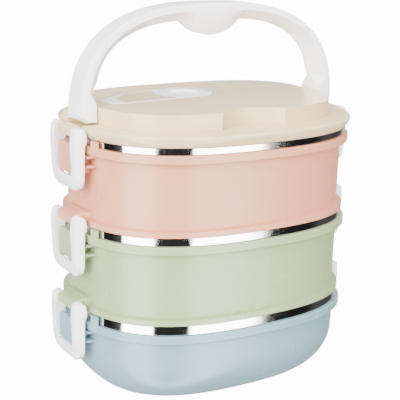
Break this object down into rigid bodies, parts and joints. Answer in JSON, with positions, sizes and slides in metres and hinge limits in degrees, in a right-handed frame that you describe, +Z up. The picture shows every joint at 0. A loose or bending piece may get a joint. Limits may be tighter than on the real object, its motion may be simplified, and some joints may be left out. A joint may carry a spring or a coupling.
{
  "type": "lunch box",
  "caption": "Stacking oval lunch box: plastic tubs with steel bowls, a vented lid, side bail latches and a folding carry handle",
  "frame": {"origin": "middle of the footprint, on the surface that the box stands on", "axes": "+X along the long side to the right-hand latches, +Y to the back, +Z up"},
  "size_m": [0.1908, 0.1378, 0.231],
  "materials": {
    "cream_plastic": "satin moulded, warm cream",
    "pink_plastic": "satin moulded, dusty pink",
    "green_plastic": "satin moulded, pale sage",
    "blue_plastic": "satin moulded, pale grey blue",
    "white_plastic": "smooth white",
    "mirror_steel": "mirror-polished stainless steel",
    "pin_steel": "plain steel pin",
    "silicone": "translucent white silicone"
  },
  "bodies": {
    "base": {"blue_shell": "blue_plastic", "blue_bowl": "mirror_steel"},
    "green_tier": {"green_shell": "green_plastic", "green_bowl": "mirror_steel", "green_seal": "silicone", "green_latch_pin_left": "pin_steel", "green_latch_pin_right": "pin_steel"},
    "pink_tier": {"pink_shell": "pink_plastic", "pink_bowl": "mirror_steel", "pink_seal": "silicone", "pink_latch_pin_left": "pin_steel", "pink_latch_pin_right": "pin_steel"},
    "lid": {"lid_cover": "cream_plastic", "lid_liner": "white_plastic", "lid_seal": "silicone", "lid_latch_pin_left": "pin_steel", "lid_latch_pin_right": "pin_steel", "handle_pin_left": "pin_steel", "handle_pin_right": "pin_steel", "vent_pin": "pin_steel"},
    "handle": {"carry_handle": "white_plastic"},
    "vent": {"vent_lever": "white_plastic", "vent_plug": "silicone"},
    "lid_latch_left": {"lid_latch_left": "white_plastic"},
    "lid_latch_right": {"lid_latch_right": "white_plastic"},
    "pink_latch_left": {"pink_latch_left": "white_plastic"},
    "pink_latch_right": {"pink_latch_right": "white_plastic"},
    "green_latch_left": {"green_latch_left": "white_plastic"},
    "green_latch_right": {"green_latch_right": "white_plastic"}
  },
  "joints": [
    {"name": "green_lift", "type": "slide", "parent": "base", "child": "green_tier", "axis": [0, 0, 1], "range_m": [0, 0.025]},
    {"name": "pink_lift", "type": "slide", "parent": "green_tier", "child": "pink_tier", "axis": [0, 0, 1], "range_m": [0, 0.025]},
    {"name": "lid_lift", "type": "slide", "parent": "pink_tier", "child": "lid", "axis": [0, 0, 1], "range_m": [0, 0.025]},
    {"name": "handle_fold", "type": "hinge", "parent": "lid", "child": "handle", "pos_m": [0, -0.0042, 0.1707], "axis": [1, 0, 0], "range_deg": [0, 90]},
    {"name": "vent_open", "type": "hinge", "parent": "lid", "child": "vent", "pos_m": [-0.0595, 0.0045, 0.1716], "axis": [0, -1, 0], "range_deg": [0, 20]},
    {"name": "lid_latch_left_swing", "type": "hinge", "parent": "lid", "child": "lid_latch_left", "pos_m": [-0.0915, 0, 0.1605], "axis": [0, 1, 0], "range_deg": [0, 115]},
    {"name": "lid_latch_right_swing", "type": "hinge", "parent": "lid", "child": "lid_latch_right", "pos_m": [0.0915, 0, 0.1605], "axis": [0, -1, 0], "range_deg": [0, 115]},
    {"name": "pink_latch_left_swing", "type": "hinge", "parent": "pink_tier", "child": "pink_latch_left", "pos_m": [-0.0915, 0, 0.1094], "axis": [0, 1, 0], "range_deg": [0, 115]},
    {"name": "pink_latch_right_swing", "type": "hinge", "parent": "pink_tier", "child": "pink_latch_right", "pos_m": [0.0915, 0, 0.1094], "axis": [0, -1, 0], "range_deg": [0, 115]},
    {"name": "green_latch_left_swing", "type": "hinge", "parent": "green_tier", "child": "green_latch_left", "pos_m": [-0.0915, 0, 0.0574], "axis": [0, 1, 0], "range_deg": [0, 115]},
    {"name": "green_latch_right_swing", "type": "hinge", "parent": "green_tier", "child": "green_latch_right", "pos_m": [0.0915, 0, 0.0574], "axis": [0, -1, 0], "range_deg": [0, 115]}
  ],
  "couplings": [
    {"joint": "lid_latch_left_swing", "follows": "lid_lift", "rad_per_m": 80},
    {"joint": "lid_latch_right_swing", "follows": "lid_lift", "rad_per_m": 80},
    {"joint": "pink_latch_left_swing", "follows": "pink_lift", "rad_per_m": 80},
    {"joint": "pink_latch_right_swing", "follows": "pink_lift", "rad_per_m": 80},
    {"joint": "green_latch_left_swing", "follows": "green_lift", "rad_per_m": 80},
    {"joint": "green_latch_right_swing", "follows": "green_lift", "rad_per_m": 80}
  ]
}
